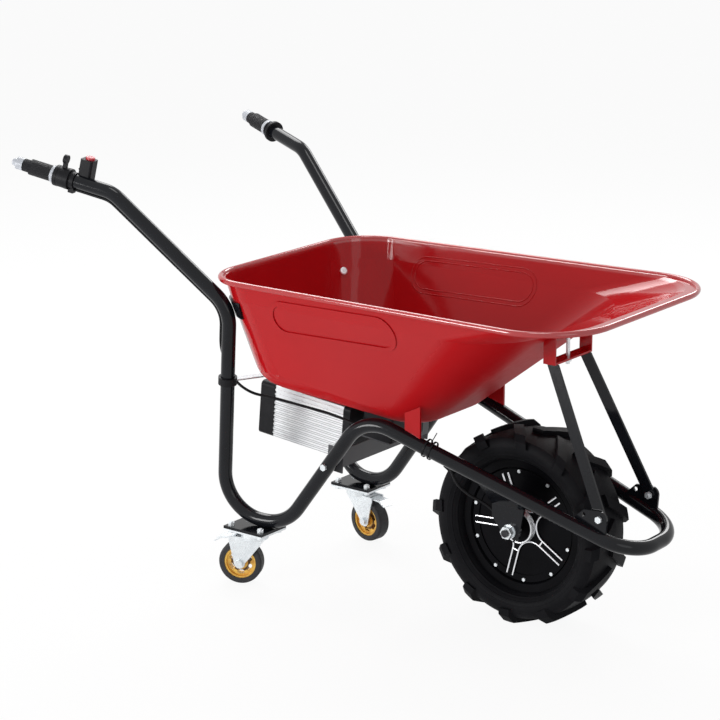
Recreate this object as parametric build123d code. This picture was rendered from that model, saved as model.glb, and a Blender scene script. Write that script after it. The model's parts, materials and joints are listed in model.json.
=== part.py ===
from build123d import *
from math import cos, radians, sin, tan
import os

# Electric wheelbarrow in millimetres: X forward, Y left, Z up, ground at Z = 0.
# It is drawn with the drive axle above x = 0 and moved at the end so that the origin
# is the middle of the box around it.
RIGHT = -1
LEFT = 1
SIDES = {"right": RIGHT, "left": LEFT}

# Shared clearances and fasteners
FIT = 0.3
RUNNING_FIT = 0.05
SEAT = 0.1
BOLT_R = 4.0
NUT_R = 7.5
NUT_H = 6.5
HEAD_H = 5.5

# Frame tube: corners of the centreline on the left side, and the bend radius at each
TUBE_R = 15.0
TUBE_WALL = 1.8
GRIP_TIP = (-1061.0, 381.0, 892.0)
HANDLE_BEND = (-841.0, 319.0, 842.0)
REAR_BEND = (-593.0, 241.0, 616.0)
FOOT_REAR = (-655.0, 195.0, 145.0)
FOOT_FRONT = (-497.0, 178.0, 145.0)
RAIL_TOP = (-301.0, 166.0, 417.0)
BOW_CORNER = (299.0, 92.0, 223.0)
HANDLE_BEND_R = 75.0
REAR_BEND_R = 80.0
FOOT_REAR_R = 88.0
FOOT_FRONT_R = 100.0
RAIL_BEND_R = 90.0
BOW_R = 85.0
HANDLE_JOINT = 0.55
RAIL_START_X = -215.0
RAIL_END_X = 212.0

# Drive wheel
AXLE_Z = 205.0
AXLE_R = 10.0
AXLE_END_R = 8.0
AXLE_HALF = 94.0
DROPOUT_IN = 68.0
DROPOUT_T = 6.0
DROPOUT_FOOT_R = 24.0
DROPOUT_TOP_HALF = 44.0
DROPOUT_KNEE_Z = 262.0
DROPOUT_SINK = 8.0
WASHER_R = 15.0
WASHER_T = 2.5
AXLE_NUT_R = 13.8
AXLE_NUT_H = 13.0
TYRE_R = 205.0
TYRE_HALF = 66.0
TREAD_HALF = 57.0
TREAD_DROP = 1.5
SHOULDER_DROP = 15.0
CARCASS_R = 196.0
CARCASS_HALF = 61.0
CARCASS_WIDEST_R = 165.0
CARCASS_SHOULDER = 54.0
CARCASS_SHOULDER_DROP = 5.0
TYRE_WALL = 7.0
BEAD_WIDTH = 8.0
LUGS_PER_SIDE = 12
LUG_WIDTH = 25.0
LUG_SWEEP = 50.0
LUG_OVERLAP = 5.0
LUG_ROOT_R = 173.0
LUG_TURN = 12.5
RIM_FLANGE_R = 140.5
RIM_HALF = 34.0
BEAD_R = 127.0
DRUM_R = 121.0
DRUM_BORE_R = 104.0
DRUM_HALF = 24.0
COVER_R = 120.0
COVER_T = 5.0
BOSS_R = 32.0
BOSS_Y = 46.0
BEARING_R = 23.5
BEARING_Y = (27.0, 41.0)
POCKETS = 5
POCKET_R = 106.0
POCKET_TIP_R = 33.5
POCKET_CORNER = 5.0
POCKET_DEPTH = 2.5
SPOKE_WIDTH = 14.0
SPOKE_ANGLE = 40.0
SCREWS = 10
SCREW_RING_R = 115.5
SCREW_R = 2.5
SCREW_HEAD_R = 4.0
SCREW_HEAD_H = 3.0
STATOR_R = 99.8
STATOR_HALF = 15.0
STATOR_RING_R = 74.0
STATOR_HUB_R = 22.0
STATOR_WEB_HALF = 4.0
STATOR_TEETH = 18
STATOR_SLOT = (26.0, 5.0)
MAGNET_T = 2.9

# Castors: the right one trails back and out, the left one trails forward
CASTOR_AXIS = (-576.0, 188.0)
CASTOR_TRAIL = 30.0
TRAIL_ANGLE = {"right": 204.0, "left": -8.0}
CASTOR_R = 47.5
CASTOR_HALF = 15.0
CASTOR_CORE_R = 35.0
CASTOR_CORE_HALF = 13.0
CASTOR_BORE_R = 5.0
CASTOR_SLOTS = 6
CASTOR_SLOT_RING_R = 22.0
CASTOR_SLOT_W = 8.0
CASTOR_DISH = (12.0, 31.0)
CASTOR_DISH_DEPTH = 5.0
CASTOR_TYRE_ROUND = 5.0
PAD_SIZE = (104.0, 84.0)
PAD_T = 6.0
PLATE_T = 4.0
PAD_TOP = FOOT_REAR[2] - TUBE_R
PLATE_TOP = PAD_TOP - PAD_T
PLATE_BOTTOM = PLATE_TOP - PLATE_T
CASTOR_BOLTS = (40.0, 30.0)
KINGPIN_R = 6.0
KINGPIN_HEAD_R = 10.0
KINGPIN_HEAD_H = 3.5
CROWN_R = 30.0
CROWN_BOTTOM = 103.0
FORK_T = 3.0
FORK_IN = CASTOR_HALF + 1.5
FORK_END_R = 12.0
FORK_FRONT = -26.0
FORK_SHOULDER = 4.0
PEDAL_PIVOT = (46.0, 101.0)
PEDAL_R = 4.0
PEDAL_REACH = 88.0
PEDAL_HALF = 14.0
PEDAL_PIN_R = 2.5
PEDAL_T = 3.0
PEDAL_DROP = 8.0

# Tray: sharp form before the bottom edge is rounded, (x, half width, z) of its wall
FLOOR_REAR = (-600.0, 216.0, 453.0)
FLOOR_FRONT = (-195.0, 130.0, 397.0)
FLARE = (100.0, 262.0, 637.0)
WALL_REAR = (-640.0, 260.0, 677.0)
WALL_FRONT = (242.0, 288.0, 689.0)
TRAY_T = 1.6
SLOPE_GROWTH = 2.0
FLOOR_ROUND = 55.0
FLOOR_REAR_R = 98.0
FLOOR_FRONT_R = 95.0
REAR_CORNER_R = 100.0
FLARE_R = 150.0
FRONT_CORNER_R = 130.0
LIP = 8.0
FRONT_LIP = 24.0
BEAD = 6.0
PANEL_X = (-474.0, -162.0)
PANEL_Z = (616.0, 625.0)
PANEL_HALF_H = 34.0
PANEL_RIDGE_W = 9.0
PANEL_RIDGE_H = 2.4

# Tray fixings
TAB_T = 5.0
TAB_Y = (168.0, 250.0)
TAB_Z = (596.0, 632.0)
TRAY_BOLT_Z = 612.0
TRAY_BOLT_TURN = 21.0
BOLT_HEAD_R = 9.0
STRAP_X = (69.0, 97.0)
STRAP_HALF = 69.0
STRAP_Z = 568.0
STRAP_T = 4.0
STRAP_LEG = 100.0
LOWER_BRACKET_X = (-206.0, -168.0)
LOWER_BRACKET_T = 5.0
LOWER_BRACKET_Z = (370.0, 520.0)
LOWER_BRACKET_GAP = 0.8
BRACE_TOP = (86.0, 62.0, 568.0)
BRACE_FOOT = (227.0, 97.0, 284.6)
BRACE_WIDTH = 24.0
BRACE_T = 5.0
LUG_PLATE_T = 5.0
LUG_NOSE_R = 17.0
LUG_HEEL = 62.0
LUG_SHOULDER = (-36.0, 14.0)
LUG_TOE = 14.0
SPARE_HOLE = (-36.0, 4.0)
SPARE_HOLE_R = 4.5

# Battery, its rail and the controller, along an axis that points back and slightly up
BATTERY_SEAT = (-540.0, 0.0, 288.0)
BATTERY_TILT = 5.0
BATTERY_HANG_H = 116.0
BATTERY_HALF_W = 75.0
BATTERY_H = 116.0
CASE_U = (-110.0, 76.0)
CASE_WALL = 3.0
CAP_OVERHANG = 2.0
CAP_ROUND = 9.0
REAR_CAP_T = 38.0
FRONT_CAP_T = 18.0
RIBS = 11
RIB_H = 2.0
RIB_T = 4.0
LENS_SIZE = (4.0, 40.0, 24.0)
TONGUE_HALF = 20.0
STEM_HALF = 8.0
STEM_H = 14.0
TONGUE_T = 7.0
RAIL_HALF = 30.0
RAIL_WALL = 3.0
RAIL_U = (-225.0, 76.0)
SLIDE_FIT = 0.6
CONTROLLER_U = (-225.0, -147.0)
CONTROLLER_HALF = 60.0
CONTROLLER_H = 58.0
CONTROLLER_ROUND = 6.0
SHEET_T = 3.0
SHEET_LOW = 18.0
FLANGE_LOW = 4.0
FLANGE_BACK = 14.0
WEB_SETBACK = 26.0
CROSS_BOLT_Z = 295.0
CLAMP_Z = 454.0
CLAMP_T = 5.0
CLAMP_H = 16.0
STRAP_WIDTH = 24.0

# Handlebar end, distances along the grip axis from the handle bend
BAR_R = 11.1
TUBE_END = {"right": 86.0, "left": 112.0}
GRIP_END = 238.0
BAR_OVERLAP = 30.0
GRIP_R = 17.0
GRIP_STEP = 194.0
GRIP_THIN_R = 13.5
GRIP_CAP_LENGTH = 27.0
GRIP_CAP_STEP = 11.0
GRIP_CAP_TIP_R = 8.0
GRIP_CAP_T = 14.0
GRIP_CAP_ROUND = 3.0
COLLAR = (134.0, 142.0)
COLLAR_R = 18.5
FLANGE_R = 24.0
FLANGE_T = 7.0
BAND = (87.0, 99.0)
BAND_R = 18.0
BAND_EAR = (14.0, 11.0)
BAND_STUB = (16.0, 10.0)
HOUSING = (99.0, 133.5)
HOUSING_R = 22.5
LEVER_SLOT = (108.0, 126.0)
LEVER_R = 15.5
LEVER_TOP = 49.0
LEVER_TIP_R = 9.5
LEVER_NECK = 9.0
LEVER_T = 8.0
POD = (57.0, 86.0)
POD_INSET = 14.0
POD_W = 30.0
POD_H = 50.0
POD_ROUND = 5.0
POD_FLOOR = 2.0
BUTTON_R = 10.0
BUTTON_H = 6.0
BUTTON_TRAVEL = 2.5
BUTTON_WELL = 8.0
BUTTON_SETBACK = 2.0
ROCKER_W = 18.0
ROCKER_PIN_R = 1.5
ROCKER_Z = 26.0
ROCKER_INSET = 4.0
ROCKER_WELL_HALF = 6.0
ROCKER_WELL_DEPTH = 9.0

# Leads
THROTTLE_LEAD_R = 3.0
MOTOR_LEAD_R = 3.0
TIE_WIDTH = 4.0
TIE_T = 1.2
TIE_X = (-157.0, -144.0)
LEAD_GAP = 1.0
LEAD_OFF_LEG = 520.0
LEAD_ON_RAIL = (-196.0, -120.0)


def on_side(point, side):
    """The left-side point, or its mirror image on the right."""
    return Vector(point[0], side * point[1], point[2])


def rail_point(x, side):
    """Centre of the fork rail at this x."""
    part = (x - RAIL_TOP[0]) / (BOW_CORNER[0] - RAIL_TOP[0])
    return on_side(RAIL_TOP, side) + (on_side(BOW_CORNER, side) - on_side(RAIL_TOP, side)) * part


def leg_point(z, side):
    """Centre of the rear leg at this height."""
    part = (z - REAR_BEND[2]) / (FOOT_REAR[2] - REAR_BEND[2])
    return on_side(REAR_BEND, side) + (on_side(FOOT_REAR, side) - on_side(REAR_BEND, side)) * part


def rise_point(z, side):
    """Centre of the rising tube behind the wheel at this height."""
    part = (z - FOOT_FRONT[2]) / (RAIL_TOP[2] - FOOT_FRONT[2])
    return on_side(FOOT_FRONT, side) + (on_side(RAIL_TOP, side) - on_side(FOOT_FRONT, side)) * part


def handle_joint(side):
    """Where the handle tube meets the leg tube."""
    start = on_side(HANDLE_BEND, side)
    return start + (on_side(REAR_BEND, side) - start) * HANDLE_JOINT


def grip_plane(side):
    """Plane at the handle bend whose Z runs along the grip and whose Y leans up."""
    bend = on_side(HANDLE_BEND, side)
    axis = (on_side(GRIP_TIP, side) - bend).normalized()
    return Plane(origin=bend, x_dir=Vector(0, 0, 1).cross(axis), z_dir=axis)


def rod(start, end, radius):
    """Solid cylinder between two points."""
    way = Vector(*end) - Vector(*start)
    face = Plane(origin=start, z_dir=way) * Circle(radius)
    return extrude(face, amount=way.length)


def bent_rod(points, radii, outer, inner=0.0):
    """Round bar or tube along straight runs joined by tangent arcs."""
    path = FilletPolyline(*points, radius=radii)
    start = Plane(origin=path @ 0, z_dir=path % 0)
    section = Circle(outer) - Circle(inner) if inner else Circle(outer)
    return sweep(start * section, path=path)


def box_between(x, y, z):
    """Box from three (low, high) pairs in any order."""
    size = [abs(pair[1] - pair[0]) for pair in (x, y, z)]
    middle = [(pair[0] + pair[1]) / 2 for pair in (x, y, z)]
    return Pos(*middle) * Box(*size)


def ring(z_dir_plane, outer, inner, start, end):
    """Ring along the plane's Z from start to end."""
    face = Circle(outer) - Circle(inner) if inner else Circle(outer)
    return extrude(z_dir_plane.offset(start) * face, amount=end - start)


def group(solids):
    """Several separate solids as one node."""
    return Compound(children=[piece for shape in solids for piece in shape.solids()])


# Frame tubes
def side_envelope(side, radius):
    """The whole side tube as a solid bar, for seating other pieces on it."""
    corners = (GRIP_TIP, HANDLE_BEND, REAR_BEND, FOOT_REAR, FOOT_FRONT, RAIL_TOP)
    points = [on_side(corner, side) for corner in corners]
    points.append(rail_point(RAIL_END_X, side))
    radii = [HANDLE_BEND_R, REAR_BEND_R, FOOT_REAR_R, FOOT_FRONT_R, RAIL_BEND_R]
    return bent_rod(points, radii, radius)


def handle_tube(name):
    side = SIDES[name]
    end = (grip_plane(side) * Pos(0, 0, TUBE_END[name])).position
    points = [end, on_side(HANDLE_BEND, side), handle_joint(side)]
    return bent_rod(points, [HANDLE_BEND_R], TUBE_R, TUBE_R - TUBE_WALL)


def leg_tube(side):
    points = [handle_joint(side)]
    points += [on_side(p, side) for p in (REAR_BEND, FOOT_REAR, FOOT_FRONT, RAIL_TOP)]
    points.append(rail_point(RAIL_START_X, side))
    radii = [REAR_BEND_R, FOOT_REAR_R, FOOT_FRONT_R, RAIL_BEND_R]
    tube = bent_rod(points, radii, TUBE_R, TUBE_R - TUBE_WALL)
    return tube - cross_bolt_shank(side, BOLT_R + SEAT)


def fork_rail(side):
    start = rail_point(RAIL_START_X, side)
    end = rail_point(RAIL_END_X, side)
    return rod(start, end, TUBE_R) - rod(start, end, TUBE_R - TUBE_WALL)


def fork_bow(bore_r=TUBE_R - TUBE_WALL):
    points = [rail_point(RAIL_END_X, RIGHT), on_side(BOW_CORNER, RIGHT)]
    points += [on_side(BOW_CORNER, LEFT), rail_point(RAIL_END_X, LEFT)]
    return bent_rod(points, [BOW_R, BOW_R], TUBE_R, bore_r)


def bar_stub(name):
    """Thinner bar inside the grip, pushed into the end of the handle tube."""
    plane = grip_plane(SIDES[name])
    bar = ring(plane, BAR_R, 0, TUBE_END[name] - BAR_OVERLAP, GRIP_END - GRIP_CAP_T)
    plug = ring(plane, TUBE_R - TUBE_WALL, 0, TUBE_END[name] - BAR_OVERLAP, TUBE_END[name])
    return bar + plug


# Plates welded to the frame
def dropout(side):
    """Bent plate from the rail down to the axle, open at the bottom."""
    outside = DROPOUT_IN + DROPOUT_T
    knee = DROPOUT_KNEE_Z
    foot_r = DROPOUT_FOOT_R
    low = AXLE_Z - 2 * foot_r
    rail = rail_point(0, side)
    reach = abs(rail.Y) - DROPOUT_SINK / 2
    top = rail.Z - DROPOUT_SINK
    profile = [(DROPOUT_IN, low), (DROPOUT_IN, knee), (reach - DROPOUT_T, top + DROPOUT_T)]
    profile += [(reach, top), (outside, knee - DROPOUT_T), (outside, low)]
    bent = Plane.YZ * make_face(Polyline([(side * y, z) for y, z in profile], close=True))
    plate = extrude(bent, amount=2 * DROPOUT_TOP_HALF, both=True)
    corners = [(-DROPOUT_TOP_HALF, rail.Z), (DROPOUT_TOP_HALF, rail.Z), (foot_r, AXLE_Z), (-foot_r, AXLE_Z)]
    corners += [(-DROPOUT_TOP_HALF, AXLE_Z + foot_r)]
    front = make_face(Polyline(corners, close=True)) + Pos(0, AXLE_Z) * Circle(foot_r)
    slot = Pos(0, AXLE_Z) * Circle(AXLE_END_R + SEAT)
    slot = slot + Pos(0, AXLE_Z - foot_r) * Rectangle(2 * (AXLE_END_R + SEAT), 2 * foot_r)
    outline = extrude(Plane.XZ * (front - slot), amount=abs(rail.Y), both=True)
    return (plate & outline) - side_envelope(side, TUBE_R)


def lug_plate(side):
    """Upright plate on the rail with the brace bolt and one spare hole."""
    x, y, z = BRACE_FOOT
    heel_x = x - LUG_HEEL
    toe_x = x + LUG_TOE
    corners = [(heel_x, rail_point(heel_x, side).Z + TUBE_R / 2)]
    corners += [(x + LUG_SHOULDER[0], z + LUG_SHOULDER[1]), (x, z + LUG_NOSE_R), (x + LUG_NOSE_R, z)]
    corners += [(toe_x, rail_point(toe_x, side).Z), (heel_x + TUBE_R, rail_point(heel_x + TUBE_R, side).Z)]
    outline = make_face(Polyline(corners, close=True))
    outline = outline + Pos(x, z) * Circle(LUG_NOSE_R)
    outline = outline - Pos(x, z) * Circle(BOLT_R + SEAT)
    outline = outline - Pos(x + SPARE_HOLE[0], z + SPARE_HOLE[1]) * Circle(SPARE_HOLE_R)
    plate = extrude(Plane.XZ * outline, amount=LUG_PLATE_T / 2, both=True)
    plate = Pos(0, side * (y + LUG_PLATE_T / 2 + SEAT), 0) * plate
    return plate - side_envelope(side, TUBE_R) - fork_bow(bore_r=0)


def brace(side):
    """Flat bar from the lug bolt up to the strap under the tray."""
    foot = on_side(BRACE_FOOT, side)
    way = on_side(BRACE_TOP, side) - foot
    facing = Vector(0, 1, 0)
    facing = (facing - way.normalized() * facing.dot(way.normalized())).normalized()
    plane = Plane(origin=foot - facing * (side * BRACE_T / 2), x_dir=way, z_dir=facing)
    bar = SlotCenterToCenter(way.length, BRACE_WIDTH)
    bar = Pos(way.length / 2, 0) * bar + Pos(way.length, 0) * Rectangle(60, BRACE_WIDTH)
    bar = extrude(plane * bar, amount=BRACE_T / 2, both=True)
    hole = rod(foot - Vector(0, 20, 0), foot + Vector(0, 20, 0), BOLT_R + SEAT)
    above = box_between((0, 200), (-300, 300), (STRAP_Z, STRAP_Z + 100))
    outer_side = box_between((100, 300), (side * BRACE_FOOT[1], side * 300), (200, 320))
    return bar - hole - above - outer_side


def lug_bolt(side):
    """Bolt across the lug plate and the brace, with its nut inside."""
    foot = on_side(BRACE_FOOT, side)
    way = Vector(0, side, 0)
    head = foot + way * (LUG_PLATE_T + SEAT)
    nut = foot - way * (BRACE_T + 2)
    bolt = rod(nut - way * (NUT_H + 2), head, BOLT_R)
    bolt = bolt + extrude(Plane(origin=head, z_dir=way) * RegularPolygon(NUT_R, 6), amount=HEAD_H)
    return bolt + extrude(Plane(origin=nut, z_dir=-way) * RegularPolygon(NUT_R, 6), amount=NUT_H)


def castor_pad(side):
    pad = Pos(CASTOR_AXIS[0], side * CASTOR_AXIS[1], PAD_TOP - PAD_T / 2) * Box(*PAD_SIZE, PAD_T)
    return pad - group(castor_bolt_holes(side))


# Drive wheel
def wheel_revolve(points):
    """Solid of revolution about the axle from (radius, y) points."""
    face = make_face(Polyline([(y, r) for r, y in points], close=True))
    return Pos(0, 0, AXLE_Z) * revolve(Plane.YZ * face, axis=Axis.Y)


def hub_rim():
    half = [(RIM_FLANGE_R, RIM_HALF), (RIM_FLANGE_R, RIM_HALF - 3), (BEAD_R + 1, RIM_HALF - 4.5)]
    half += [(BEAD_R, RIM_HALF - 14), (DRUM_R + 2, RIM_HALF - 22)]
    bore = [(DRUM_BORE_R, DRUM_HALF), (DRUM_R, DRUM_HALF), (BEAD_R - 3, RIM_HALF - 1)]
    outside = half + [(r, -y) for r, y in reversed(half)]
    inside = [(r, -y) for r, y in reversed(bore)] + bore
    return wheel_revolve(outside + inside) - group(screw_shanks(SCREW_R + FIT))


def tyre_section():
    """Horseshoe section of the carcass as a face on the YZ plane."""
    foot_y = RIM_HALF - 5
    bead = (foot_y, BEAD_R + 1.6)
    edge = (RIM_HALF - 3.4, RIM_FLANGE_R + FIT)
    shoulder = (CARCASS_SHOULDER, CARCASS_R - CARCASS_SHOULDER_DROP)
    inner_foot = (foot_y - BEAD_WIDTH, BEAD_R + 1.2)
    inner_edge = (foot_y - BEAD_WIDTH, RIM_FLANGE_R + BEAD_WIDTH)
    inner_shoulder = (CARCASS_SHOULDER - TYRE_WALL / 2, shoulder[1] - TYRE_WALL)
    widest = (CARCASS_HALF, CARCASS_WIDEST_R)
    inner_widest = (CARCASS_HALF - TYRE_WALL, CARCASS_WIDEST_R + TYRE_WALL / 2)
    right = [Line(bead, edge), ThreePointArc(edge, widest, shoulder)]
    inner = [ThreePointArc(inner_shoulder, inner_widest, inner_edge)]
    inner += [Line(inner_edge, inner_foot), Line(inner_foot, bead)]
    flip = [mirror(edge_line, about=Plane.YZ) for edge_line in right + inner]
    crown = (0, CARCASS_R)
    inner_crown = (0, CARCASS_R - TYRE_WALL)
    tread = ThreePointArc(shoulder, crown, (-shoulder[0], shoulder[1]))
    liner = ThreePointArc(inner_shoulder, inner_crown, (-inner_shoulder[0], inner_shoulder[1]))
    return Plane.YZ * make_face(right + inner + flip + [tread, liner])


def tyre_lug():
    """One slanting tread bar at the top of the wheel, reaching the left shoulder."""
    half = LUG_WIDTH / 2
    mid = LUG_SWEEP / 2
    bar = [(-half - mid, -LUG_OVERLAP), (half - mid, -LUG_OVERLAP)]
    bar += [(half + mid, TYRE_HALF), (-half + mid, TYRE_HALF)]
    prism = extrude(Plane.XY.offset(LUG_ROOT_R) * make_face(Polyline(bar, close=True)), amount=TYRE_R)
    tread_edge = (TREAD_HALF, TYRE_R - TREAD_DROP)
    shoulder_edge = (TYRE_HALF, TYRE_R - SHOULDER_DROP)
    root = (TYRE_HALF, LUG_ROOT_R)
    right = [Line(tread_edge, shoulder_edge), Line(shoulder_edge, root)]
    shoulder = right + [mirror(line, about=Plane.YZ) for line in right]
    shoulder.append(ThreePointArc(tread_edge, (0, TYRE_R), (-tread_edge[0], tread_edge[1])))
    shoulder.append(Line(root, (-root[0], root[1])))
    envelope = revolve(Plane.YZ * make_face(shoulder), axis=Axis.Y)
    return prism & envelope


def drive_tyre():
    carcass = revolve(tyre_section(), axis=Axis.Y)
    left_lug = tyre_lug()
    right_lug = mirror(left_lug, about=Plane.XZ)
    step = 360.0 / LUGS_PER_SIDE
    lugs = [Rot(0, LUG_TURN + step * k, 0) * left_lug for k in range(LUGS_PER_SIDE)]
    lugs += [Rot(0, LUG_TURN + step * (k + 0.5), 0) * right_lug for k in range(LUGS_PER_SIDE)]
    return Pos(0, 0, AXLE_Z) * carcass.fuse(*lugs)


def side_plane(side):
    """Plane on the axle whose Z points out to this side; local X forward, local Y up or down."""
    return Plane(origin=(0, 0, AXLE_Z), x_dir=(1, 0, 0), z_dir=(0, side, 0))


def screw_places(side):
    """A screw on each side of every spoke, half a step from it."""
    return PolarLocations(SCREW_RING_R, SCREWS, start_angle=-side * (SPOKE_ANGLE + 180.0 / SCREWS))


def screw_shanks(radius):
    depth = 10.0
    solids = []
    for side in SIDES.values():
        plane = side_plane(side).offset(DRUM_HALF - depth)
        for place in screw_places(side):
            solids.append(extrude(plane * place * Circle(radius), amount=depth + COVER_T))
    return solids


def cover_screws():
    heads = []
    for side in SIDES.values():
        plane = side_plane(side).offset(DRUM_HALF + COVER_T)
        for place in screw_places(side):
            heads.append(extrude(plane * place * RegularPolygon(SCREW_HEAD_R, 6), amount=SCREW_HEAD_H))
    return group([shank + head for shank, head in zip(screw_shanks(SCREW_R), heads)])


def pocket_sketch(side):
    """The recesses between the five spokes, each with a round inner end."""
    sketch = Circle(POCKET_R)
    for k in range(POCKETS):
        turn = -side * (SPOKE_ANGLE + 360.0 / POCKETS * k)
        sketch = sketch - Rot(0, 0, turn) * Pos(POCKET_R, 0) * Rectangle(2 * POCKET_R, SPOKE_WIDTH)
    middle = Vertex(0, 0, 0)
    sketch = fillet(sketch.vertices().sort_by_distance(middle)[:POCKETS], POCKET_TIP_R)
    return fillet(sketch.vertices().sort_by_distance(middle)[-2 * POCKETS:], POCKET_CORNER)


def side_cover(side):
    plane = side_plane(side)
    face = DRUM_HALF + COVER_T
    cover = ring(plane, COVER_R, AXLE_R + 1, DRUM_HALF, face)
    cover = cover + ring(plane, BOSS_R, AXLE_R + 1, DRUM_HALF, BOSS_Y)
    cover = chamfer(cover.faces().sort_by(Axis.Y)[-1 if side > 0 else 0].outer_wire().edges(), 3)
    cover = cover - ring(plane, BEARING_R, 0, 0, BEARING_Y[1])
    cover = cover - extrude(plane.offset(face - POCKET_DEPTH) * pocket_sketch(side), amount=POCKET_DEPTH)
    return cover - group(screw_shanks(SCREW_R + FIT))


def hub_bearings():
    bore = AXLE_R + RUNNING_FIT
    return group([ring(side_plane(s), BEARING_R - RUNNING_FIT, bore, *BEARING_Y) for s in SIDES.values()])


def magnet_ring():
    plane = side_plane(LEFT)
    return ring(plane, DRUM_BORE_R, DRUM_BORE_R - MAGNET_T, -STATOR_HALF, STATOR_HALF)


def axle():
    bar = ring(side_plane(LEFT), AXLE_R, 0, -DROPOUT_IN, DROPOUT_IN)
    return bar + ring(side_plane(LEFT), AXLE_END_R, 0, -AXLE_HALF, AXLE_HALF)


def axle_nuts():
    pieces = []
    for side in SIDES.values():
        plane = side_plane(side)
        face = DROPOUT_IN + DROPOUT_T
        pieces.append(ring(plane, WASHER_R, AXLE_END_R + SEAT, face, face + WASHER_T))
        hexagon = RegularPolygon(AXLE_NUT_R, 6) - Circle(AXLE_END_R + SEAT)
        pieces.append(extrude(plane.offset(face + WASHER_T) * hexagon, amount=AXLE_NUT_H))
    return group(pieces)


def stator():
    """Wound core on the axle: a hub, a web and a toothed ring."""
    plane = side_plane(LEFT)
    core = ring(plane, STATOR_R, STATOR_RING_R, -STATOR_HALF, STATOR_HALF)
    slot = Pos(STATOR_R - STATOR_SLOT[0] / 3, 0) * Rectangle(*STATOR_SLOT)
    for k in range(STATOR_TEETH):
        turned = Rot(0, 0, 360 / STATOR_TEETH * k) * slot
        core = core - extrude(plane * turned, amount=STATOR_HALF, both=True)
    web = ring(plane, STATOR_RING_R + 2, AXLE_R, -STATOR_WEB_HALF, STATOR_WEB_HALF)
    return core + web + ring(plane, STATOR_HUB_R, AXLE_R, -STATOR_HALF, STATOR_HALF)


# Castors, drawn about their own swivel axis with local X along the trail
def castor_place(name):
    return Pos(CASTOR_AXIS[0], SIDES[name] * CASTOR_AXIS[1], 0) * Rot(0, 0, TRAIL_ANGLE[name])


def castor_bolt_points(side):
    points = []
    for x in (-CASTOR_BOLTS[0], CASTOR_BOLTS[0]):
        for y in (-CASTOR_BOLTS[1], CASTOR_BOLTS[1]):
            points.append((CASTOR_AXIS[0] + x, side * CASTOR_AXIS[1] + y))
    return points


def castor_bolt_holes(side):
    return [rod((x, y, 0), (x, y, PAD_TOP + 5), BOLT_R + SEAT) for x, y in castor_bolt_points(side)]


def castor_bolts():
    bolts = []
    for side in SIDES.values():
        for x, y in castor_bolt_points(side):
            shank = rod((x, y, PLATE_BOTTOM), (x, y, PAD_TOP + NUT_H + 2), BOLT_R)
            head = extrude(Pos(x, y, PLATE_BOTTOM) * RegularPolygon(NUT_R, 6), amount=-HEAD_H)
            nut = extrude(Pos(x, y, PAD_TOP) * RegularPolygon(NUT_R, 6), amount=NUT_H)
            bolts.append(shank + head + nut)
    return bolts


def castor_plate(name):
    """Top plate with the kingpin that the fork turns on."""
    side = SIDES[name]
    plate = Pos(0, 0, PLATE_TOP - PLATE_T / 2) * Box(*PAD_SIZE, PLATE_T)
    head_top = CROWN_BOTTOM - FIT
    pin = rod((0, 0, head_top - KINGPIN_HEAD_H), (0, 0, PLATE_TOP), KINGPIN_R)
    head = rod((0, 0, head_top - KINGPIN_HEAD_H), (0, 0, head_top), KINGPIN_HEAD_R)
    body = Pos(CASTOR_AXIS[0], side * CASTOR_AXIS[1], 0) * (plate + pin + head)
    return body - group(castor_bolt_holes(side))


def castor_fork(name):
    top = PLATE_BOTTOM - FIT
    crown = rod((0, 0, CROWN_BOTTOM), (0, 0, top), CROWN_R)
    pivot_x, pivot_z = PEDAL_PIVOT
    shoulder = CROWN_BOTTOM + FORK_SHOULDER
    rear = pivot_x + 2 * PEDAL_PIN_R + FORK_SHOULDER / 2
    outline = [(FORK_FRONT, shoulder), (rear, shoulder), (rear, pivot_z - 2 * PEDAL_PIN_R)]
    outline += [(CASTOR_TRAIL + FORK_END_R, CASTOR_R), (CASTOR_TRAIL - FORK_END_R, CASTOR_R)]
    outline += [(FORK_FRONT, CROWN_BOTTOM)]
    leg = make_face(Polyline(outline, close=True)) + Pos(CASTOR_TRAIL, CASTOR_R) * Circle(FORK_END_R)
    leg = leg - Pos(CASTOR_TRAIL, CASTOR_R) * Circle(CASTOR_BORE_R + SEAT)
    leg = leg - Pos(pivot_x, pivot_z) * Circle(PEDAL_PIN_R + SEAT)
    plate = extrude(Plane.XZ * leg, amount=-FORK_T)
    fork = crown + Pos(0, FORK_IN, 0) * plate + Pos(0, -FORK_IN - FORK_T, 0) * plate
    fork = fork - rod((0, 0, 0), (0, 0, 200), KINGPIN_R + RUNNING_FIT)
    return castor_place(name) * fork


def castor_axle(name):
    """Bolt through the fork with a hexagon on each end."""
    centre = Plane(origin=(CASTOR_TRAIL, 0, CASTOR_R), z_dir=(0, 1, 0))
    out = FORK_IN + FORK_T
    bolt = ring(centre, CASTOR_BORE_R, 0, -out, out)
    for side in SIDES.values():
        face = Plane(origin=(CASTOR_TRAIL, side * out, CASTOR_R), z_dir=(0, side, 0))
        bolt = bolt + extrude(face * RegularPolygon(NUT_R + 1, 6), amount=NUT_H)
    return castor_place(name) * bolt


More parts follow.
